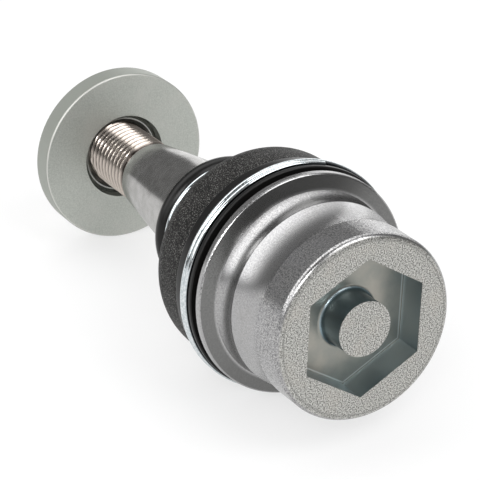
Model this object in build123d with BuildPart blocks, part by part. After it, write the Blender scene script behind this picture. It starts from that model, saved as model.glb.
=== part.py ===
from build123d import *
import os
from math import cos, pi, radians, sin, sqrt, tan

# Ball joint, millimetres. The axis of the stud is X. The origin is the centre of the hex end face
# of the housing, +X runs from there to the thread, and +Z is up as the joint lies on its side.

# --- fits -------------------------------------------------------------------------------------
running_gap = 0.05            # radial, ball in its shells, sleeve and nut on the stud
seat_gap = 0.05               # radial, shells and closing ring in the housing bore
rubber_gap = 0.25             # boot to everything that it wraps

# --- housing, hex end --------------------------------------------------------------------------
hex_across_flats = 24.0
hex_roll = 2.45               # degrees that a corner of the hex stands off +Z, towards -Y
socket_depth = 6.2
stub_r = 5.5                  # round boss in the middle of the socket, flush with the end face
stub_root_fillet = 0.9
barrel_r = 18.5
barrel_edge_r = 1.2
barrel_length = 7.4
waist_depth = 0.2             # shallow cove between the barrel and the flare
flare_r = 18.9
cove_depth = 0.55             # groove between the flare and the flange
cove_width = 5.05
flange_root_r = 19.3
flange_face_width = 0.75      # axial
flange_edge_r = 22.05
rim_bevel = 0.4
rim_width = 0.95

# --- housing, boot end -------------------------------------------------------------------------
boot_groove_r = 19.9
boot_groove_width = 6.7
mouth_lip_r = 20.6
mouth_lip_width = 2.2
roll_thickness = 1.2          # edge of the housing rolled in over the closing ring
roll_r = 16.2

# --- ball seat ---------------------------------------------------------------------------------
ball_r = 13.5
floor_thickness = 4.0         # steel between the hex socket and the ball cavity
pad_r = 6.4
pad_thickness = 1.2
shell_wall = 2.0
shell_base_wall = 0.55
grease_hole_r = 3.5
shell_split = 0.2             # gap between the two shells at the ball's equator
upper_skirt = 1.5             # upper shell below its flange
shell_flange_thickness = 1.8
shell_flange_r = 17.5
shell_collar_wall = 1.05      # upper shell inside the closing ring, at the ring's top
shell_collar_height = 5.5     # from the ball's centre
closing_ring_thickness = 1.8

# --- stud --------------------------------------------------------------------------------------
ball_flat_r = 4.0
neck_r = 8.0
neck_length = 13.5            # from the ball's centre
neck_blend = 6.0
land_r = 9.5                  # cylinder that the boot's sleeve runs on
land_length = 22.7
taper_length = 16.0
taper_small_r = 7.2
shoulder_chamfer = 0.5
undercut_r = 5.9
undercut_width = 1.5
thread_r = 7.0
thread_length = 27.1
thread_chamfer = 1.2

# --- boot and its two wire rings ---------------------------------------------------------------
boot_wall = 1.8
groove_wall = 1.25            # under the large ring, over the lip of the housing
foot_wall = 0.75              # in the groove of the housing
neck_wall = 1.95              # under the small ring, over the sleeve
wire_d = 1.1
wire_pitch = 1.15
ring_gap = 0.1                # boot to the wire
cross_over_start = 320.0      # degrees along the wire: first turn flat, cross-over, second turn flat
cross_over_end = 360.0
wire_end = 675.0
large_ring_start = 108.0      # where the wire starts, degrees from +Y towards +Z
small_ring_start = 250.0
lip_height = 0.7              # above the floor of the large ring's groove
lip_width = 1.2
lip_setback = 1.45            # from the rim of the housing to the lip
collar_height = 0.2
collar_width = 3.0
crease_width = 0.25           # groove between the collar and the bulge
crease_depth = 0.45
bulge_rise = 0.1              # slope of the bulge behind the crease
bulge_r = 6.05
bulge_reach = 5.55            # from the end of the housing to the crown
throat_height = 0.75          # above the floor of the small ring's groove
throat_blend = 2.05
small_groove_reach = 13.1     # from the crown of the bulge to the middle of the small ring
bead_r = 1.9
bead_height = 1.6             # above the floor of the small ring's groove
sleeve_wall = 1.3
sleeve_length = 7.0

# --- washer and nut ----------------------------------------------------------------------------
washer_r = 18.6
washer_hole_r = 9.2
washer_thickness = 5.0
washer_edge = 0.3
washer_stand_off = 12.7       # from the stud's shoulder to the washer
nut_across_flats = 21.0
nut_height = 8.0
collar_setback = 1.75         # nut collar below the front face of the washer
collar_outer_bevel = 0.9
collar_inner_bevel = 0.9
nut_corner_angle = 30.0

# --- places along X ----------------------------------------------------------------------------
cavity_floor_x = socket_depth + floor_thickness
shell_inner_r = ball_r + running_gap
shell_outer_r = shell_inner_r + shell_wall
cavity_r = shell_outer_r + seat_gap
pad_top_x = cavity_floor_x + pad_thickness
ball_x = pad_top_x + shell_base_wall + shell_inner_r
flange_x = ball_x + upper_skirt
ring_x = flange_x + shell_flange_thickness
roll_x = ring_x + closing_ring_thickness
housing_end_x = roll_x + roll_thickness
mouth_bore_r = shell_flange_r + seat_gap
lip_x = housing_end_x - mouth_lip_width
rim_back_x = lip_x - boot_groove_width
rim_x = rim_back_x - rim_width
flange_edge_x = rim_x - rim_bevel
flange_root_x = flange_edge_x - flange_face_width
flare_x = flange_root_x - cove_width
rim_r = flange_edge_r + rim_bevel

land_x = ball_x + neck_length + neck_blend
taper_x = land_x + land_length
shoulder_x = taper_x + taper_length
undercut_end_x = shoulder_x + undercut_width
stud_end_x = undercut_end_x + thread_length
washer_x = shoulder_x + washer_stand_off
washer_back_x = washer_x + washer_thickness
nut_end_x = washer_back_x + nut_height

wire_r = wire_d / 2
ring_half_width = wire_r + wire_pitch / 2
over_lip_r = mouth_lip_r + rubber_gap
groove_r = over_lip_r + groove_wall
large_ring_r = groove_r + ring_gap + wire_r
lip_r = groove_r + lip_height
collar_r = groove_r + collar_height
foot_inner_r = boot_groove_r + rubber_gap
foot_outer_r = foot_inner_r + foot_wall
sleeve_bore_r = land_r + running_gap
sleeve_r = sleeve_bore_r + sleeve_wall
bore_r = sleeve_r + rubber_gap
small_floor_r = bore_r + neck_wall
small_ring_r = small_floor_r + ring_gap + wire_r
throat_r = small_floor_r + throat_height
bulge_centre_r = throat_r + throat_blend
bead_mid_r = small_floor_r + bead_height - bead_r
boot_front_x = rim_back_x + rubber_gap
lip_front_x = rim_back_x + lip_setback
large_groove_x = lip_front_x + lip_width
large_ring_x = large_groove_x + ring_gap + ring_half_width
large_groove_end_x = large_ring_x + ring_half_width + ring_gap
collar_end_x = large_groove_end_x + collar_width
crease_x = collar_end_x + crease_width
bulge_start_x = crease_x + crease_width
crease_r = collar_r - crease_depth
bulge_x = housing_end_x + bulge_reach
small_ring_x = bulge_x + small_groove_reach
small_groove_x = small_ring_x - ring_half_width - ring_gap
small_groove_end_x = small_ring_x + ring_half_width + ring_gap
bead_x = small_groove_end_x + bead_r
boot_end_x = bead_x + bead_r
sleeve_x = boot_end_x - sleeve_length


def on_arc(x, r, radius, degrees_from_crown):
    """A point on a round section, measured in degrees from its crown towards +X."""
    angle = radians(degrees_from_crown)
    return (x + radius * sin(angle), r + radius * cos(angle))


def sphere_x(radius, r):
    """How far from the ball's centre a sphere has shrunk to r."""
    return sqrt(radius**2 - r**2)


# --- housing: forged body, hex socket with its boss, ball cavity ---------------------------------
with BuildPart() as housing:
    with BuildSketch(Plane.XZ):
        with BuildLine():
            edge_x = barrel_edge_r
            Line((0, 0), (0, barrel_r - edge_x))
            RadiusArc((0, barrel_r - edge_x), (edge_x, barrel_r), edge_x)
            Line((edge_x, barrel_r), (barrel_length, barrel_r))
            waist_x = barrel_length + (flare_x - barrel_length) / 3
            Spline((barrel_length, barrel_r), (waist_x, barrel_r - waist_depth), (flare_x, flare_r))
            cove_r = (flare_r + flange_root_r) / 2 - cove_depth
            ThreePointArc((flare_x, flare_r), ((flare_x + flange_root_x) / 2, cove_r),
                          (flange_root_x, flange_root_r))
            Line((flange_root_x, flange_root_r), (flange_edge_x, flange_edge_r))
            RadiusArc((flange_edge_x, flange_edge_r), (rim_x, rim_r), rim_bevel * 1.5)
            Polyline((rim_x, rim_r), (rim_back_x, rim_r), (rim_back_x, boot_groove_r),
                     (lip_x, boot_groove_r), (lip_x, mouth_lip_r), (housing_end_x, mouth_lip_r),
                     (housing_end_x, 0), (0, 0))
        make_face()
    revolve(axis=Axis.X)
    # ball cavity: pad recess, spherical seat, then the bores for the shell's flange and the ring
    with BuildSketch(Plane.XZ):
        with BuildLine():
            recess_r = pad_r + seat_gap
            seat_x = ball_x - sphere_x(cavity_r, recess_r)
            Polyline((cavity_floor_x, 0), (cavity_floor_x, recess_r), (seat_x, recess_r))
            RadiusArc((seat_x, recess_r), (ball_x, cavity_r), cavity_r)
            Polyline((ball_x, cavity_r), (flange_x, cavity_r), (flange_x, mouth_bore_r),
                     (roll_x, mouth_bore_r), (roll_x, roll_r), (housing_end_x, roll_r),
                     (housing_end_x, 0), (cavity_floor_x, 0))
        make_face()
    revolve(axis=Axis.X, mode=Mode.SUBTRACT)
    with BuildSketch(Plane.YZ):
        RegularPolygon(radius=hex_across_flats / 2, side_count=6, major_radius=False,
                       rotation=90 + hex_roll)
        Circle(stub_r, mode=Mode.SUBTRACT)
    extrude(amount=socket_depth, mode=Mode.SUBTRACT)
    stub_root = housing.edges().filter_by(GeomType.CIRCLE).filter_by(
        lambda edge: abs(edge.radius - stub_r) < 1e-3 and abs(edge.center().X - socket_depth) < 1e-3)
    fillet(stub_root, stub_root_fillet)

# --- preload pad between the cavity floor and the lower shell ------------------------------------
with BuildPart() as preload_pad:
    with BuildSketch(Plane.YZ.offset(cavity_floor_x)):
        Circle(pad_r)
    extrude(amount=pad_thickness)

# --- lower bearing shell: cup under the ball's equator -------------------------------------------
with BuildPart() as lower_shell:
    with BuildSketch(Plane.XZ):
        with BuildLine():
            split_x = ball_x - shell_split / 2
            foot_r = sqrt(shell_outer_r**2 - (ball_x - pad_top_x) ** 2)
            inner_r_at_split = sphere_x(shell_inner_r, shell_split / 2)
            outer_r_at_split = sphere_x(shell_outer_r, shell_split / 2)
            hole_top_x = ball_x - sphere_x(shell_inner_r, grease_hole_r)
            Polyline((hole_top_x, grease_hole_r), (pad_top_x, grease_hole_r), (pad_top_x, foot_r))
            RadiusArc((pad_top_x, foot_r), (split_x, outer_r_at_split), shell_outer_r)
            Line((split_x, outer_r_at_split), (split_x, inner_r_at_split))
            RadiusArc((split_x, inner_r_at_split), (hole_top_x, grease_hole_r), -shell_inner_r)
        make_face()
    revolve(axis=Axis.X)

# --- upper bearing shell: skirt, flange under the closing ring, collar round the ball -------------
with BuildPart() as upper_shell:
    with BuildSketch(Plane.XZ):
        with BuildLine():
            split_x = ball_x + shell_split / 2
            top_x = ball_x + shell_collar_height
            top_inner_r = sphere_x(shell_inner_r, shell_collar_height)
            collar_outer_r = sphere_x(shell_inner_r, closing_ring_thickness) + shell_collar_wall
            Line((split_x, sphere_x(shell_inner_r, shell_split / 2)), (split_x, shell_outer_r))
            Polyline((split_x, shell_outer_r), (flange_x, shell_outer_r), (flange_x, shell_flange_r),
                     (ring_x, shell_flange_r), (ring_x, collar_outer_r), (top_x, collar_outer_r),
                     (top_x, top_inner_r))
            RadiusArc((top_x, top_inner_r), (split_x, sphere_x(shell_inner_r, shell_split / 2)),
                      -shell_inner_r)
        make_face()
    revolve(axis=Axis.X)

# --- closing ring: steel, held down by the rolled edge of the housing -----------------------------
with BuildPart() as closing_ring:
    with BuildSketch(Plane.YZ.offset(ring_x)):
        Circle(shell_flange_r)
        Circle(collar_outer_r + seat_gap, mode=Mode.SUBTRACT)
    extrude(amount=closing_ring_thickness)

# --- ball stud: ball, neck, sleeve land, taper, shoulder, undercut and plain thread ---------------
with BuildPart() as ball_stud:
    with BuildSketch(Plane.XZ):
        with BuildLine():
            flat_x = ball_x - sphere_x(ball_r, ball_flat_r)
            neck_x = ball_x + sphere_x(ball_r, neck_r)
            blend_x = ball_x + neck_length
            Line((flat_x, 0), (flat_x, ball_flat_r))
            ThreePointArc((flat_x, ball_flat_r), (ball_x, ball_r), (neck_x, neck_r))
            Polyline((neck_x, neck_r), (blend_x, neck_r), (land_x, land_r), (taper_x, land_r),
                     (shoulder_x - shoulder_chamfer, taper_small_r + shoulder_chamfer / 4),
                     (shoulder_x, taper_small_r - shoulder_chamfer / 2),
                     (shoulder_x, undercut_r), (undercut_end_x - undercut_width / 3, undercut_r),
                     (undercut_end_x, thread_r), (stud_end_x - thread_chamfer, thread_r),
                     (stud_end_x, thread_r - thread_chamfer), (stud_end_x, 0), (flat_x, 0))
        make_face()
    revolve(axis=Axis.X)

# --- dust boot: beaded large end, bulge, throat, beaded small end ---------------------------------
with BuildPart() as dust_boot:
    with BuildSketch(Plane.XZ):
        with BuildLine():
            crown = on_arc(bulge_x, bulge_centre_r, bulge_r, 0)
            bulge_shoulder = on_arc(bulge_x, bulge_centre_r, bulge_r, 45)
            bulge_end = on_arc(bulge_x, bulge_centre_r, bulge_r, 90)
            # outside, from the front of the large end to the back of the small end
            Polyline((boot_front_x, foot_inner_r), (boot_front_x, foot_outer_r),
                     (lip_front_x, foot_outer_r), (lip_front_x, lip_r), (large_groove_x, lip_r),
                     (large_groove_x, groove_r), (large_groove_end_x, groove_r),
                     (large_groove_end_x, collar_r), (collar_end_x, collar_r),
                     (crease_x, crease_r), (bulge_start_x, crown[1]))
            Spline((bulge_start_x, crown[1]), crown, tangents=((1, bulge_rise), (1, 0)))
            ThreePointArc(crown, bulge_shoulder, bulge_end)
            RadiusArc(bulge_end, (bulge_end[0] + throat_blend, throat_r), -throat_blend)
            Polyline((bulge_end[0] + throat_blend, throat_r), (small_groove_x, throat_r),
                     (small_groove_x, small_floor_r), (small_groove_end_x, small_floor_r),
                     (small_groove_end_x, bead_mid_r))
            ThreePointArc((small_groove_end_x, bead_mid_r), (bead_x, bead_mid_r + bead_r),
                          (boot_end_x, bead_mid_r))
            # inside, back to the front
            inner_r = bulge_r - boot_wall
            inner_end = on_arc(bulge_x, bulge_centre_r, inner_r, 90)
            inner_shoulder = on_arc(bulge_x, bulge_centre_r, inner_r, 45)
            inner_crown = on_arc(bulge_x, bulge_centre_r, inner_r, 0)
            throat_inner_r = throat_r - boot_wall
            Polyline((boot_end_x, bead_mid_r), (boot_end_x, bore_r),
                     (sleeve_x - rubber_gap, bore_r), (sleeve_x - rubber_gap, throat_inner_r),
                     (inner_end[0], throat_inner_r), inner_end)
            ThreePointArc(inner_end, inner_shoulder, inner_crown)
            Polyline(inner_crown, (housing_end_x + boot_wall, inner_crown[1]),
                     (housing_end_x + rubber_gap, over_lip_r),
                     (lip_x - rubber_gap, over_lip_r), (lip_x - rubber_gap, foot_inner_r),
                     (boot_front_x, foot_inner_r))
        make_face()
    revolve(axis=Axis.X)


def wire_ring(middle_x, radius, start):
    """Two turns of spring wire side by side, with one short cross-over."""

    def at(turn, along):
        angle = radians(start - along)
        return (middle_x + (turn - 0.5) * wire_pitch, radius * cos(angle), radius * sin(angle))

    with BuildPart() as ring:
        with BuildLine() as wire:
            first = ThreePointArc(at(0, 0), at(0, cross_over_start / 2), at(0, cross_over_start))
            second = ThreePointArc(at(1, cross_over_end), at(1, (cross_over_end + wire_end) / 2),
                                   at(1, wire_end))
            halfway = at(0.5, (cross_over_start + cross_over_end) / 2)
            Spline(first @ 1, halfway, second @ 0, tangents=(first % 1, second % 0))
        with BuildSketch(Plane(origin=first @ 0, z_dir=first % 0)):
            Circle(wire_r)
        sweep(path=wire.wire())
    return ring


large_ring = wire_ring(large_ring_x, large_ring_r, large_ring_start)
small_ring = wire_ring(small_ring_x, small_ring_r, small_ring_start)

# --- sleeve in the small end of the boot, running on the stud's land ------------------------------
with BuildPart() as boot_sleeve:
    with BuildSketch(Plane.YZ.offset(sleeve_x)):
        Circle(sleeve_r)
        Circle(sleeve_bore_r, mode=Mode.SUBTRACT)
    extrude(amount=sleeve_length)

# --- thick washer -------------------------------------------------------------------------------
with BuildPart() as washer:
    with BuildSketch(Plane.YZ.offset(washer_x)):
        Circle(washer_r)
        Circle(washer_hole_r, mode=Mode.SUBTRACT)
    extrude(amount=washer_thickness)
    rims = washer.edges().filter_by(GeomType.CIRCLE).filter_by(
        lambda edge: abs(edge.radius - washer_r) < 1e-3)
    chamfer(rims, washer_edge)

# --- nut: hex behind the washer, round collar inside it -------------------------------------------
with BuildPart() as nut:
    with BuildSketch(Plane.YZ.offset(washer_back_x)):
        RegularPolygon(radius=nut_across_flats / 2, side_count=6, major_radius=False)
    extrude(amount=nut_height)
    # corners turned off at the free end
    with BuildSketch(Plane.XZ):
        with BuildLine():
            corner_r = nut_across_flats / 2 / cos(pi / 6)
            turned = (corner_r - nut_across_flats / 2) * tan(radians(nut_corner_angle))
            Polyline((washer_back_x, 0), (washer_back_x, corner_r), (nut_end_x - turned, corner_r),
                     (nut_end_x, nut_across_flats / 2), (nut_end_x, 0), (washer_back_x, 0))
        make_face()
    revolve(axis=Axis.X, mode=Mode.INTERSECT)
    # collar and threaded bore
    with BuildSketch(Plane.XZ):
        with BuildLine():
            collar_x = washer_x + collar_setback
            nut_collar_r = washer_hole_r - 2 * running_gap
            Polyline((collar_x, 0), (collar_x, nut_collar_r - collar_outer_bevel),
                     (collar_x + collar_outer_bevel, nut_collar_r), (washer_back_x, nut_collar_r),
                     (washer_back_x, 0), (collar_x, 0))
        make_face()
    revolve(axis=Axis.X)
    with BuildSketch(Plane.XZ):
        with BuildLine():
            bore = thread_r + running_gap
            Polyline((collar_x, 0), (collar_x, bore + collar_inner_bevel),
                     (collar_x + collar_inner_bevel, bore), (nut_end_x - collar_inner_bevel, bore),
                     (nut_end_x, bore + collar_inner_bevel), (nut_end_x, 0), (collar_x, 0))
        make_face()
    revolve(axis=Axis.X, mode=Mode.SUBTRACT)

# --- one labelled solid for each piece -------------------------------------------------------------
pieces = {
    "housing": housing,
    "preload_pad": preload_pad,
    "lower_bearing_shell": lower_shell,
    "upper_bearing_shell": upper_shell,
    "closing_ring": closing_ring,
    "ball_stud": ball_stud,
    "dust_boot": dust_boot,
    "boot_large_ring": large_ring,
    "boot_small_ring": small_ring,
    "boot_sleeve": boot_sleeve,
    "washer": washer,
    "nut": nut,
}
os.makedirs("parts", exist_ok=True)
for label, piece in pieces.items():
    piece.part.label = label
    export_step(piece.part, f"parts/{label}.step")
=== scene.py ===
import math

import bmesh
import bpy
from mathutils import Matrix, Vector


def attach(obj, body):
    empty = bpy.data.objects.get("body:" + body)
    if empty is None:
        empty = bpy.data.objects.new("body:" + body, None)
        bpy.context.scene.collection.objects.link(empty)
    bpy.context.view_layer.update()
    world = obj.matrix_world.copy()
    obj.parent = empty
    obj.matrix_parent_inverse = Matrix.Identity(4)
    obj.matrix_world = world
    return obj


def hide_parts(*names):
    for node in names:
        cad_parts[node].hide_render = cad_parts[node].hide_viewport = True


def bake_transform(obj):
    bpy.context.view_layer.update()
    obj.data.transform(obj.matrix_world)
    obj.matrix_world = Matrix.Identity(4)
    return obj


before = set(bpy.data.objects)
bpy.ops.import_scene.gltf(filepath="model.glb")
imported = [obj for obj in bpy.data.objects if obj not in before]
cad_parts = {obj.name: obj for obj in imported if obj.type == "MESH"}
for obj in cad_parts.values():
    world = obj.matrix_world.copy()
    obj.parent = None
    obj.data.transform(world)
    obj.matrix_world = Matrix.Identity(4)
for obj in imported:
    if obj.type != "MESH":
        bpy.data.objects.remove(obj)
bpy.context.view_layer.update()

MM = 0.001

# --------------------------------------------------------------------------------------
# geometry helpers: everything below is in millimetres in the row frame until it becomes a mesh


def rounded(points, steps=5):
    """A line through (x, r, rounding) with each corner rounded, as (x, r)."""
    out = []
    for i, point in enumerate(points):
        x, r = point[0], point[1]
        rounding = point[2] if len(point) > 2 else 0.0
        if rounding <= 0 or i in (0, len(points) - 1):
            out.append((x, r))
            continue
        here = Vector((x, r))
        back = Vector(points[i - 1][:2]) - here
        ahead = Vector(points[i + 1][:2]) - here
        reach_back = min(rounding, back.length * 0.49)
        reach_ahead = min(rounding, ahead.length * 0.49)
        a = here + back.normalized() * reach_back
        b = here + ahead.normalized() * reach_ahead
        for k in range(steps + 1):
            t = k / steps
            p = a * (1 - t) ** 2 + here * 2 * t * (1 - t) + b * t ** 2
            out.append((p.x, p.y))
    return out


def arc(cx, cr, radius, start, end, steps):
    """Points on a round section. Degrees run from the crown towards +X."""
    out = []
    for k in range(steps + 1):
        angle = math.radians(start + (end - start) * k / steps)
        out.append((cx + radius * math.sin(angle), cr + radius * math.cos(angle)))
    return out


def turned(name, rings, around, loop, sharp=32.0):
    """A mesh of rings about X. rings lists (x, r); r may be a function of the angle."""
    verts, faces = [], []
    for x, r in rings:
        for j in range(around):
            angle = 2 * math.pi * j / around
            radius = r(angle) if callable(r) else r
            verts.append((x * MM, radius * math.cos(angle) * MM, radius * math.sin(angle) * MM))
    count = len(rings)
    for i in range(count if loop else count - 1):
        a, b = i * around, (i + 1) % count * around
        for j in range(around):
            k = (j + 1) % around
            faces.append((a + j, a + k, b + k, b + j))
    mesh = bpy.data.meshes.new(name)
    mesh.from_pydata(verts, [], faces)
    work = bmesh.new()
    work.from_mesh(mesh)
    bmesh.ops.remove_doubles(work, verts=work.verts, dist=1e-8)
    bmesh.ops.recalc_face_normals(work, faces=work.faces)
    work.to_mesh(mesh)
    work.free()
    mesh.polygons.foreach_set("use_smooth", [True] * len(mesh.polygons))
    mesh.set_sharp_from_angle(angle=math.radians(sharp))
    obj = bpy.data.objects.new(name, mesh)
    bpy.context.scene.collection.objects.link(obj)
    return obj


# --------------------------------------------------------------------------------------
# material helpers


class Shader:
    """A node material. Values are node outputs or plain numbers."""

    def __init__(self, name):
        self.material = bpy.data.materials.new(name)
        self.material.use_nodes = True
        self.tree = self.material.node_tree
        self.tree.nodes.clear()
        self.output = self.tree.nodes.new("ShaderNodeOutputMaterial")
        self.bsdf = self.tree.nodes.new("ShaderNodeBsdfPrincipled")
        self.tree.links.new(self.bsdf.outputs[0], self.output.inputs["Surface"])
        coord = self.tree.nodes.new("ShaderNodeTexCoord")
        self.mm = self.vector("SCALE", coord.outputs["Object"], scale=1 / MM)
        split = self.tree.nodes.new("ShaderNodeSeparateXYZ")
        self.tree.links.new(self.mm, split.inputs[0])
        self.x, self.y, self.z = split.outputs
        self.r = self.math("SQRT", self.math("ADD", self.math("MULTIPLY", self.y, self.y),
                                             self.math("MULTIPLY", self.z, self.z)))

    def put(self, socket, value):
        if hasattr(value, "is_output"):
            self.tree.links.new(value, socket)
        else:
            socket.default_value = value

    def vector(self, operation, a, b=None, scale=None):
        node = self.tree.nodes.new("ShaderNodeVectorMath")
        node.operation = operation
        self.put(node.inputs[0], a)
        if b is not None:
            self.put(node.inputs[1], b)
        if scale is not None:
            self.put(node.inputs["Scale"], scale)
        return node.outputs[0]

    def math(self, operation, a, b=None):
        node = self.tree.nodes.new("ShaderNodeMath")
        node.operation = operation
        self.put(node.inputs[0], a)
        if b is not None:
            self.put(node.inputs[1], b)
        return node.outputs[0]

    def product(self, a, b):
        return self.math("MULTIPLY", a, b)

    def noise(self, scale, detail=2.0, roughness=0.5, stretch=None):
        where = self.mm
        if stretch is not None:
            where = self.vector("MULTIPLY", self.mm, stretch)
        node = self.tree.nodes.new("ShaderNodeTexNoise")
        node.inputs["Scale"].default_value = scale
        node.inputs["Detail"].default_value = detail
        node.inputs["Roughness"].default_value = roughness
        self.tree.links.new(where, node.inputs["Vector"])
        return node.outputs[0]

    def ramp(self, value, low, high, to_low=0.0, to_high=1.0, smooth=True):
        node = self.tree.nodes.new("ShaderNodeMapRange")
        node.interpolation_type = "SMOOTHSTEP" if smooth else "LINEAR"
        self.put(node.inputs["Value"], value)
        for key, number in (("From Min", low), ("From Max", high),
                            ("To Min", to_low), ("To Max", to_high)):
            node.inputs[key].default_value = number
        return node.outputs[0]

    def mix(self, factor, a, b):
        node = self.tree.nodes.new("ShaderNodeMix")
        node.data_type = "RGBA"
        self.put(node.inputs[0], factor)
        self.put(node.inputs[6], a)
        self.put(node.inputs[7], b)
        return node.outputs[2]

    def blend(self, factor, a, b):
        node = self.tree.nodes.new("ShaderNodeMix")
        node.data_type = "FLOAT"
        self.put(node.inputs[0], factor)
        self.put(node.inputs[2], a)
        self.put(node.inputs[3], b)
        return node.outputs[0]

    def bump(self, height, distance, strength=1.0, normal=None):
        node = self.tree.nodes.new("ShaderNodeBump")
        self.put(node.inputs["Height"], height)
        self.put(node.inputs["Distance"], distance * MM)
        self.put(node.inputs["Strength"], strength)
        if normal is not None:
            self.tree.links.new(normal, node.inputs["Normal"])
        return node.outputs[0]

    def turned_normal(self, factor):
        """The surface normal, turned square to the X axis where factor is 1."""
        radial = self.tree.nodes.new("ShaderNodeCombineXYZ")
        self.put(radial.inputs["Y"], self.y)
        self.put(radial.inputs["Z"], self.z)
        to_world = self.tree.nodes.new("ShaderNodeVectorTransform")
        to_world.vector_type = "NORMAL"
        to_world.convert_from, to_world.convert_to = "OBJECT", "WORLD"
        self.tree.links.new(radial.outputs[0], to_world.inputs[0])
        geometry = self.tree.nodes.new("ShaderNodeNewGeometry")
        node = self.tree.nodes.new("ShaderNodeMix")
        node.data_type = "VECTOR"
        self.put(node.inputs[0], factor)
        self.put(node.inputs[4], geometry.outputs["Normal"])
        self.put(node.inputs[5], self.vector("NORMALIZE", to_world.outputs[0]))
        return self.vector("NORMALIZE", node.outputs[1])

    def set(self, **values):
        for key, value in values.items():
            self.put(self.bsdf.inputs[key.replace("_", " ")], value)
        return self.material


def rgb(r, g, b):
    return (r, g, b, 1.0)


# --- forged housing: shot-blasted end face, satin turned bands, smooth dark hex socket ----
s = Shader("housing_steel")
grain = s.noise(3.4, detail=3.0, roughness=0.62)
cloud = s.noise(0.22, detail=3.0)
on_face = s.ramp(s.x, 0.35, 0.05)
in_socket = s.product(s.ramp(s.x, 0.02, 0.12), s.ramp(s.r, 14.4, 14.1))
bands = s.ramp(s.x, 7.2, 8.6)
soft_grain = s.ramp(grain, 0.0, 1.0, 0.40, 0.62, smooth=False)
speckle = s.ramp(s.blend(bands, grain, soft_grain), 0.36, 0.62, smooth=False)
light_metal = s.mix(bands, rgb(0.50, 0.495, 0.49), rgb(0.56, 0.555, 0.55))
turned_metal = s.mix(speckle, rgb(0.14, 0.14, 0.145), light_metal)
clouding = s.ramp(cloud, 0.35, 0.7, 0.0, 0.35)
turned_metal = s.mix(clouding, turned_metal, rgb(0.40, 0.40, 0.41))
pits = s.noise(3.9, detail=3.0, roughness=0.65)
face_metal = s.mix(s.ramp(pits, 0.39, 0.60), rgb(0.15, 0.15, 0.14), rgb(0.66, 0.655, 0.625))
face_metal = s.mix(s.ramp(cloud, 0.45, 0.75, 0.0, 0.25), face_metal, rgb(0.52, 0.48, 0.43))
flange_radii = s.product(s.ramp(s.r, 19.35, 19.9), s.ramp(s.r, 22.25, 22.05))
flange = s.product(s.ramp(s.x, 18.5, 19.5), flange_radii)
flange_metal = s.mix(speckle, rgb(0.10, 0.10, 0.10), rgb(0.24, 0.24, 0.235))
turned_metal = s.mix(flange, turned_metal, flange_metal)
# painted shade: a thin dark ring on the end face, just inside the rounding of its edge
rim_shade_line = s.product(s.ramp(s.r, 17.0, 17.2), s.ramp(s.r, 17.5, 17.3))
face_metal = s.mix(s.product(rim_shade_line, 0.5), face_metal, rgb(0.20, 0.20, 0.19))
colour = s.mix(on_face, turned_metal, face_metal)
socket_metal = s.mix(s.ramp(cloud, 0.3, 0.7), rgb(0.29, 0.295, 0.27), rgb(0.38, 0.36, 0.32))
socket_roll = math.radians(2.45)


def from_axis(degrees):
    """Distance of a point from the axis, along one flat's normal of the hex socket."""
    angle = socket_roll + math.radians(degrees)
    along_y = s.product(s.y, math.cos(angle))
    along_z = s.product(s.z, math.sin(angle))
    return s.math("ABSOLUTE", s.math("ADD", along_y, along_z))


hexagon = s.math("MAXIMUM", from_axis(0), s.math("MAXIMUM", from_axis(60), from_axis(120)))
# painted highlight: a thin light line on the socket floor at the foot of the hex walls, where the
# corner catches the light
socket_junction_highlight = s.product(s.ramp(hexagon, 11.55, 11.65), s.ramp(hexagon, 11.92, 11.85))
socket_junction_highlight = s.product(socket_junction_highlight, s.ramp(s.x, 6.05, 6.15, 0.0, 0.7))
socket_metal = s.mix(socket_junction_highlight, socket_metal, rgb(0.75, 0.75, 0.72))
socket_metal = s.mix(s.ramp(s.x, 6.14, 6.04), socket_metal, rgb(0.33, 0.395, 0.42))
colour = s.mix(in_socket, colour, socket_metal)
rough = s.blend(on_face, s.ramp(grain, 0.3, 0.7, 0.27, 0.19), 0.42)
rough = s.blend(in_socket, rough, 0.34)
rings = s.noise(1.0, detail=2.0, stretch=(9.0, 0.05, 0.05))
relief = s.blend(in_socket, s.blend(on_face, s.blend(bands, 0.34, 0.16), 0.6), 0.08)
normal = s.bump(rings, 0.01, 0.25, s.bump(grain, 0.05, relief))
s.set(Base_Color=colour, Metallic=1.0, Roughness=rough, Normal=normal)
housing_steel = s.material

# --- polished stud with warm rolled thread ----------------------------------------------
s = Shader("stud_steel")
on_thread = s.ramp(s.x, 84.4, 84.8)
streak = s.noise(1.0, detail=3.0, stretch=(7.0, 0.35, 0.35))
haze = s.noise(0.5, detail=3.0)
colour = s.mix(s.ramp(haze, 0.3, 0.7), rgb(0.37, 0.365, 0.355), rgb(0.45, 0.445, 0.435))
# painted shade: the thread is painted near-black towards its roots, in the grooves
thread_metal = s.mix(s.ramp(s.r, 6.2, 6.95), rgb(0.04, 0.032, 0.028), rgb(0.55, 0.49, 0.44))
colour = s.mix(on_thread, colour, thread_metal)
rough = s.blend(on_thread, s.ramp(streak, 0.3, 0.7, 0.15, 0.22), 0.2)
on_taper = s.product(s.ramp(s.x, 64.0, 67.0), s.ramp(s.x, 83.1, 82.9))
normal = s.bump(streak, 0.004, 0.2, s.turned_normal(on_taper))
s.set(Base_Color=colour, Metallic=1.0, Roughness=rough, Normal=normal)
stud_steel = s.material

# --- black moulded rubber; the light speckle on the bulge is painted glints -------------
s = Shader("boot_rubber")
grain = s.noise(4.6, detail=2.0, roughness=0.6)
on_bulge = s.product(s.ramp(s.x, 31.1, 31.5), s.ramp(s.x, 47.5, 46.5))
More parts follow.
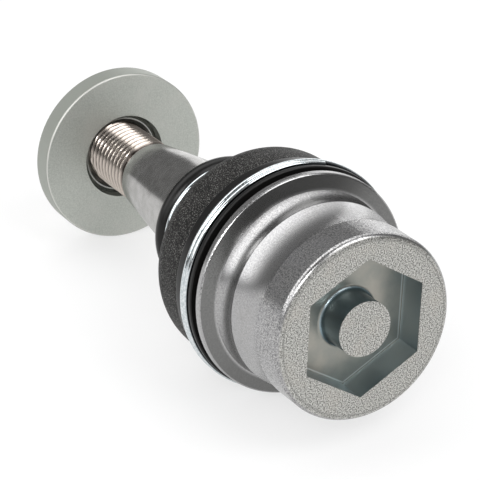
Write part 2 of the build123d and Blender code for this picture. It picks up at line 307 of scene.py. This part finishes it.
# painted glints: light speckle on the bulge that stands in for light caught by its grainy surface
painted_glint_speckle = s.product(s.ramp(grain, 0.54, 0.66), on_bulge)
colour = s.mix(painted_glint_speckle, rgb(0.006, 0.0058, 0.0056), rgb(0.17, 0.167, 0.16))
s.set(Base_Color=colour, Metallic=0.0, Roughness=s.blend(on_bulge, 0.28, 0.55),
      Specular_IOR_Level=s.blend(on_bulge, 0.25, 0.14),
      Normal=s.bump(grain, 0.06, s.blend(on_bulge, 0.15, 0.9)))
boot_rubber = s.material

# --- bright zinc-plated spring wire -----------------------------------------------------
s = Shader("wire_zinc")
grain = s.noise(2.2, detail=2.0)
colour = s.mix(s.ramp(grain, 0.3, 0.7), rgb(0.50, 0.55, 0.57), rgb(0.72, 0.75, 0.76))
# painted shade: below its crown each wire is painted near-black, on its flanks and between the
# coils
large_unshaded_crown, small_unshaded_crown = s.ramp(s.r, 22.88, 23.08), s.ramp(s.r, 13.83, 14.03)
unshaded_crown = s.blend(s.ramp(s.x, 38.0, 40.0), large_unshaded_crown, small_unshaded_crown)
colour = s.mix(unshaded_crown, rgb(0.04, 0.045, 0.05), colour)
s.set(Base_Color=colour, Metallic=1.0, Roughness=s.ramp(grain, 0.3, 0.7, 0.07, 0.13),
      Normal=s.bump(grain, 0.01, 0.3))
wire_zinc = s.material

# --- washer: matt grey-green zinc, painted highlight on the front edge, painted shade on the rim ---
s = Shader("washer_zinc")
grain = s.noise(3.0, detail=3.0, roughness=0.6)
cloud = s.noise(0.16, detail=3.0)
colour = s.mix(s.ramp(grain, 0.3, 0.7), rgb(0.455, 0.475, 0.44), rgb(0.56, 0.58, 0.54))
colour = s.mix(s.ramp(cloud, 0.4, 0.7, 0.0, 0.5), colour, rgb(0.57, 0.575, 0.54))
# painted highlight: a thin light ring on the front face at its outer edge
washer_edge_highlight = s.product(s.ramp(s.r, 18.25, 18.35), s.ramp(s.x, 96.9, 96.7))
colour = s.mix(washer_edge_highlight, colour, rgb(0.60, 0.60, 0.57))
# painted shade: the washer's rim cylinder is painted darker than its face
colour = s.mix(s.ramp(s.r, 18.45, 18.55), colour, rgb(0.33, 0.345, 0.315))
s.set(Base_Color=colour, Metallic=0.8, Roughness=0.5, Normal=s.bump(grain, 0.03, 0.4))
washer_zinc = s.material

# --- nut --------------------------------------------------------------------------------
s = Shader("nut_zinc")
grain = s.noise(3.0, detail=3.0, roughness=0.6)
colour = s.mix(s.ramp(grain, 0.3, 0.7), rgb(0.34, 0.345, 0.325), rgb(0.46, 0.465, 0.44))
s.set(Base_Color=colour, Metallic=0.9, Roughness=0.36, Normal=s.bump(grain, 0.03, 0.4))
nut_zinc = s.material

# --- inner pieces -----------------------------------------------------------------------
s = Shader("shell_plastic")
grain = s.noise(1.5, detail=2.0)
s.set(Base_Color=s.mix(grain, rgb(0.66, 0.64, 0.58), rgb(0.72, 0.71, 0.66)), Roughness=0.42,
      Normal=s.bump(grain, 0.02, 0.3))
shell_plastic = s.material

s = Shader("sleeve_plastic")
grain = s.noise(3.0, detail=2.0)
s.set(Base_Color=s.mix(grain, rgb(0.025, 0.025, 0.027), rgb(0.04, 0.04, 0.042)), Roughness=0.45,
      Normal=s.bump(grain, 0.02, 0.3))
sleeve_plastic = s.material

s = Shader("pad_rubber")
grain = s.noise(4.0, detail=2.0)
s.set(Base_Color=s.mix(grain, rgb(0.03, 0.03, 0.03), rgb(0.05, 0.05, 0.05)), Roughness=0.7,
      Normal=s.bump(grain, 0.03, 0.4))
pad_rubber = s.material

s = Shader("ring_steel")
rings = s.noise(1.0, detail=2.0, stretch=(6.0, 0.1, 0.1))
s.set(Base_Color=s.mix(rings, rgb(0.45, 0.45, 0.45), rgb(0.56, 0.56, 0.55)), Metallic=1.0,
      Roughness=0.38, Normal=s.bump(rings, 0.01, 0.3))
ring_steel = s.material

finish = {
    "housing": housing_steel,
    "preload_pad": pad_rubber,
    "lower_bearing_shell": shell_plastic,
    "upper_bearing_shell": shell_plastic,
    "closing_ring": ring_steel,
    "boot_large_ring": wire_zinc,
    "boot_small_ring": wire_zinc,
    "boot_sleeve": sleeve_plastic,
    "washer": washer_zinc,
    "nut": nut_zinc,
}
for node, material in finish.items():
    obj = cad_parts[node]
    for material_slot in obj.material_slots:
        material_slot.material = material
    if not obj.material_slots:
        obj.data.materials.append(material)

# --------------------------------------------------------------------------------------
# ball stud with a real M14x1.5 thread

PITCH = 1.5
THREAD_R = 7.0
THREAD_START, THREAD_END = 84.7, 112.3
CHAMFER = 1.2
BALL_X, BALL_R = 25.5, 13.5
NECK_R, FLAT_R = 8.0, 4.0
TAPER_R, TAPER_START, TAPER_END, SHOULDER = 9.5, 67.7, 83.2, 83.7
CORE_R = 5.9
RINGS_PER_TURN = 14
CREST_HALF, FLANK_SLOPE, THREAD_DEPTH = 0.10, 1.732, 0.90


def thread_ring(x):
    """The radius of the thread at x, as a function of the angle."""
    lead_in = CORE_R + (x - THREAD_START) * 2.2
    lead_out = THREAD_R - CHAMFER + (THREAD_END - x)

    def radius(angle):
        turn = (x / PITCH - angle / (2 * math.pi)) % 1.0
        off = min(turn, 1 - turn) * PITCH
        depth = min(max((off - CREST_HALF) * FLANK_SLOPE, 0.0), THREAD_DEPTH)
        return min(THREAD_R - depth, lead_in, lead_out)

    return radius


profile = [(BALL_X - math.sqrt(BALL_R ** 2 - FLAT_R ** 2), 0.0)]
start_angle = -math.degrees(math.acos(FLAT_R / BALL_R))
end_angle = math.degrees(math.acos(NECK_R / BALL_R))
profile += arc(BALL_X, 0.0, BALL_R, start_angle, end_angle, 60)
profile += rounded([(profile[-1][0], NECK_R), (38.0, NECK_R, 1.2), (39.2, NECK_R, 1.0),
                    (45.0, TAPER_R, 1.5), (TAPER_START, TAPER_R, 0.6), (TAPER_END, 7.325, 0.25),
                    (SHOULDER, 6.95, 0.1), (SHOULDER, CORE_R, 0.15), (THREAD_START, CORE_R)])[1:]
thread_length = THREAD_END - THREAD_START
steps = int(thread_length / PITCH * RINGS_PER_TURN)
profile += [(THREAD_START + thread_length * k / steps, None) for k in range(1, steps + 1)]
profile = [(x, thread_ring(x) if r is None else r) for x, r in profile] + [(THREAD_END, 0.0)]
stud = turned("stud_threaded", profile, 160, False)
stud.data.materials.append(stud_steel)
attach(stud, "stud")
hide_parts("ball_stud")

# --------------------------------------------------------------------------------------
# dust boot in two halves that meet inside the bulge

SPLIT = 38.4
BULGE_X, BULGE_MID, BULGE_R, WALL = 37.35, 15.85, 6.05, 1.8
split_angle = math.degrees(math.asin((SPLIT - BULGE_X) / BULGE_R))
inner_split = math.degrees(math.asin((SPLIT - BULGE_X) / (BULGE_R - WALL)))
front_out = rounded([(23.15, 20.15), (23.15, 20.9, 0.2), (24.35, 20.9, 0.1),
                     (24.35, 22.8, 0.3), (25.55, 22.8, 0.3), (25.55, 22.1, 0.1),
                     (28.0, 22.1, 0.05), (28.0, 22.3, 0.1), (31.0, 22.3, 0.2),
                     (31.25, 21.85, 0.12), (31.5, 21.9, 0.12), (32.5, 21.97),
                     (34.5, 22.03), (36.0, 21.97)])
front_out += arc(BULGE_X, BULGE_MID, BULGE_R, 0, split_angle, 4)
front_in = arc(BULGE_X, BULGE_MID, BULGE_R - WALL, inner_split, 0, 4)
front_in += rounded([front_in[-1], (33.6, 20.1, 0.6), (32.05, 20.85, 0.3),
                     (29.35, 20.85, 0.2), (29.35, 20.15, 0.2), (23.15, 20.15)])[1:-1]
boot_front = turned("boot_front_half", front_out + front_in, 224, True, 40.0)

back_out = arc(BULGE_X, BULGE_MID, BULGE_R, split_angle, 90, 22)
THROAT_X, THROAT_R, FILLET = 45.45, 15.85, 2.05
for degrees in range(10, 91, 10):
    angle = math.radians(degrees)
    back_out.append((THROAT_X - FILLET * math.cos(angle), THROAT_R - FILLET * math.sin(angle)))
back_out += rounded([(45.45, 13.8), (49.225, 13.8, 0.25), (49.225, 13.05, 0.1),
                     (51.675, 13.05, 0.1), (51.675, 12.75)])[1:]
back_out += arc(53.575, 12.75, 1.9, -90, 90, 20)[1:]
# the inner throat is widened so that it clears the stud at full tilt
back_in = rounded([(55.475, 12.75), (55.475, 11.1, 0.2), (48.225, 11.1, 0.1), (48.225, 12.0, 0.2),
                   (45.0, 12.88), (43.3, 13.34), (41.6, 13.8, 0.3), (41.6, 15.85)])[1:]
back_in += arc(BULGE_X, BULGE_MID, BULGE_R - WALL, 90, inner_split, 18)[1:]
boot_back = turned("boot_back_half", back_out + back_in, 224, True, 40.0)
for half in (boot_front, boot_back):
    half.data.materials.append(boot_rubber)
    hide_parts("dust_boot")
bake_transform(boot_front)
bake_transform(boot_back)

# --------------------------------------------------------------------------------------
# floor: the part leans on its large wire ring and on the washer's edge

REST_A, REST_B = Vector((26.8, 0, -23.32)), Vector((101.1, 0, -18.61))
lean = math.atan2(REST_B.z - REST_A.z, REST_B.x - REST_A.x)


def flat_plane(name, centre, size_x, size_y, rotation):
    mesh = bpy.data.meshes.new(name)
    hx, hy = size_x / 2, size_y / 2
    mesh.from_pydata([(-hx, -hy, 0), (hx, -hy, 0), (hx, hy, 0), (-hx, hy, 0)], [], [(0, 1, 2, 3)])
    obj = bpy.data.objects.new(name, mesh)
    obj.matrix_world = Matrix.Translation(centre) @ rotation
    bpy.context.scene.collection.objects.link(obj)
    return obj


FLOOR_SIZE = 12.0
floor = flat_plane("floor", REST_A * MM, FLOOR_SIZE, FLOOR_SIZE, Matrix.Rotation(-lean, 4, "Y"))
# the floor glows white for the rays that see it, keeps its shadow near the part, and is
# all white further out
GLOW_NEAR, GLOW_FAR = 0.66, 1.0
GLOW_START, GLOW_END = 0.35, 0.8
white = bpy.data.materials.new("floor_white")
white.use_nodes = True
nodes, links = white.node_tree.nodes, white.node_tree.links
paper = nodes["Principled BSDF"]
paper.inputs["Base Color"].default_value = rgb(0.86, 0.86, 0.86)
paper.inputs["Roughness"].default_value = 0.9
paper.inputs["Specular IOR Level"].default_value = 0.1
glow = nodes.new("ShaderNodeEmission")
glow.inputs["Strength"].default_value = 1.0
seen = nodes.new("ShaderNodeLightPath")
reach = nodes.new("ShaderNodeTexCoord")
distance = nodes.new("ShaderNodeVectorMath")
distance.operation = "LENGTH"
links.new(reach.outputs["Object"], distance.inputs[0])
far = nodes.new("ShaderNodeMapRange")
for key, number in (("From Min", GLOW_START), ("From Max", GLOW_END),
                    ("To Min", GLOW_NEAR), ("To Max", GLOW_FAR)):
    far.inputs[key].default_value = number
links.new(distance.outputs["Value"], far.inputs["Value"])


def floor_math(operation, a, b):
    node = nodes.new("ShaderNodeMath")
    node.operation = operation
    links.new(a, node.inputs[0])
    links.new(b, node.inputs[1])
    return node.outputs[0]


mirrored = floor_math("MAXIMUM", seen.outputs["Is Glossy Ray"], seen.outputs["Is Transmission Ray"])
any_view = floor_math("MAXIMUM", seen.outputs["Is Camera Ray"], mirrored)
both = nodes.new("ShaderNodeMixShader")
links.new(floor_math("MULTIPLY", any_view, far.outputs[0]), both.inputs[0])
links.new(paper.outputs[0], both.inputs[1])
links.new(glow.outputs[0], both.inputs[2])
links.new(both.outputs[0], nodes["Material Output"].inputs["Surface"])
floor.data.materials.append(white)

# --------------------------------------------------------------------------------------
# camera, fitted to the round edges of the part

camera_data = bpy.data.cameras.new("camera")
camera_data.sensor_width = 36.0
camera_data.lens = 161.356
camera_data.clip_start = 0.01
camera_data.clip_end = 20.0
camera = bpy.data.objects.new("camera", camera_data)
bpy.context.scene.collection.objects.link(camera)
back = -Vector((0.79306, -0.45060, -0.40989)).normalized()
right = Vector((-0.49401, -0.86946, 0.0)).normalized()
up = back.cross(right)
turn = Matrix((right, up, back)).transposed().to_4x4()
camera.matrix_world = Matrix.Translation((-0.292107, 0.192007, 0.174491)) @ turn
bpy.context.scene.camera = camera

# --------------------------------------------------------------------------------------
# light


def area(name, place, towards, size_x, size_y, power):
    data = bpy.data.lights.new(name, "AREA")
    data.shape = "RECTANGLE"
    data.size, data.size_y = size_x, size_y
    data.energy = power
    obj = bpy.data.objects.new(name, data)
    direction = Vector(towards) - Vector(place)
    turned_to = direction.to_track_quat("-Z", "Y").to_matrix().to_4x4()
    obj.matrix_world = Matrix.Translation(place) @ turned_to
    bpy.context.scene.collection.objects.link(obj)


centre = (0.04, 0.0, 0.0)
area("softbox_left", (-0.25, 0.75, 0.35), centre, 0.5, 0.5, 1.5)
area("softbox_front", (-0.50, -0.25, 0.70), centre, 0.6, 0.6, 4.0)
area("softbox_right", (0.75, -0.54, 0.12), centre, 0.6, 0.45, 1.0)
area("softbox_camera", (-0.62, 0.50, 0.50), centre, 0.3, 0.3, 3.0)

# an arch of light over the part, across its axis, with dim surroundings
world = bpy.data.worlds.new("studio")
bpy.context.scene.world = world
world.use_nodes = True
tree = world.node_tree
tree.nodes.clear()


def world_math(operation, a, b=0.0):
    node = tree.nodes.new("ShaderNodeMath")
    node.operation = operation
    for socket, value in ((node.inputs[0], a), (node.inputs[1], b)):
        if hasattr(value, "is_output"):
            tree.links.new(value, socket)
        else:
            socket.default_value = value
    return node.outputs[0]


def world_ramp(value, low, high, to_low, to_high):
    node = tree.nodes.new("ShaderNodeMapRange")
    node.interpolation_type = "SMOOTHSTEP"
    tree.links.new(value, node.inputs["Value"])
    for key, number in (("From Min", low), ("From Max", high),
                        ("To Min", to_low), ("To Max", to_high)):
        node.inputs[key].default_value = number
    return node.outputs[0]


out = tree.nodes.new("ShaderNodeOutputWorld")
where = tree.nodes.new("ShaderNodeTexCoord")
split = tree.nodes.new("ShaderNodeSeparateXYZ")
tree.links.new(where.outputs["Generated"], split.inputs[0])
ARCH_X, ARCH_STRENGTH, AMBIENT = 0.36, 2.3, 0.20
off_axis = world_math("ABSOLUTE", world_math("SUBTRACT", split.outputs["X"], ARCH_X))
arch = world_ramp(off_axis, 0.18, 0.40, 1.0, 0.0)
raised = world_ramp(split.outputs["Z"], 0.05, 0.30, 0.0, 1.0)
side = world_ramp(split.outputs["Y"], -0.9, 0.2, 0.5, 1.0)
strength = world_math("MULTIPLY", side, ARCH_STRENGTH)
lit = world_math("MULTIPLY", world_math("MULTIPLY", arch, raised), strength)
level = world_math("ADD", lit, AMBIENT)
dim = tree.nodes.new("ShaderNodeBackground")
dim.inputs["Color"].default_value = rgb(1, 1, 1)
tree.links.new(level, dim.inputs["Strength"])
tree.links.new(dim.outputs[0], out.inputs[0])

bpy.context.scene.view_settings.view_transform = "Standard"
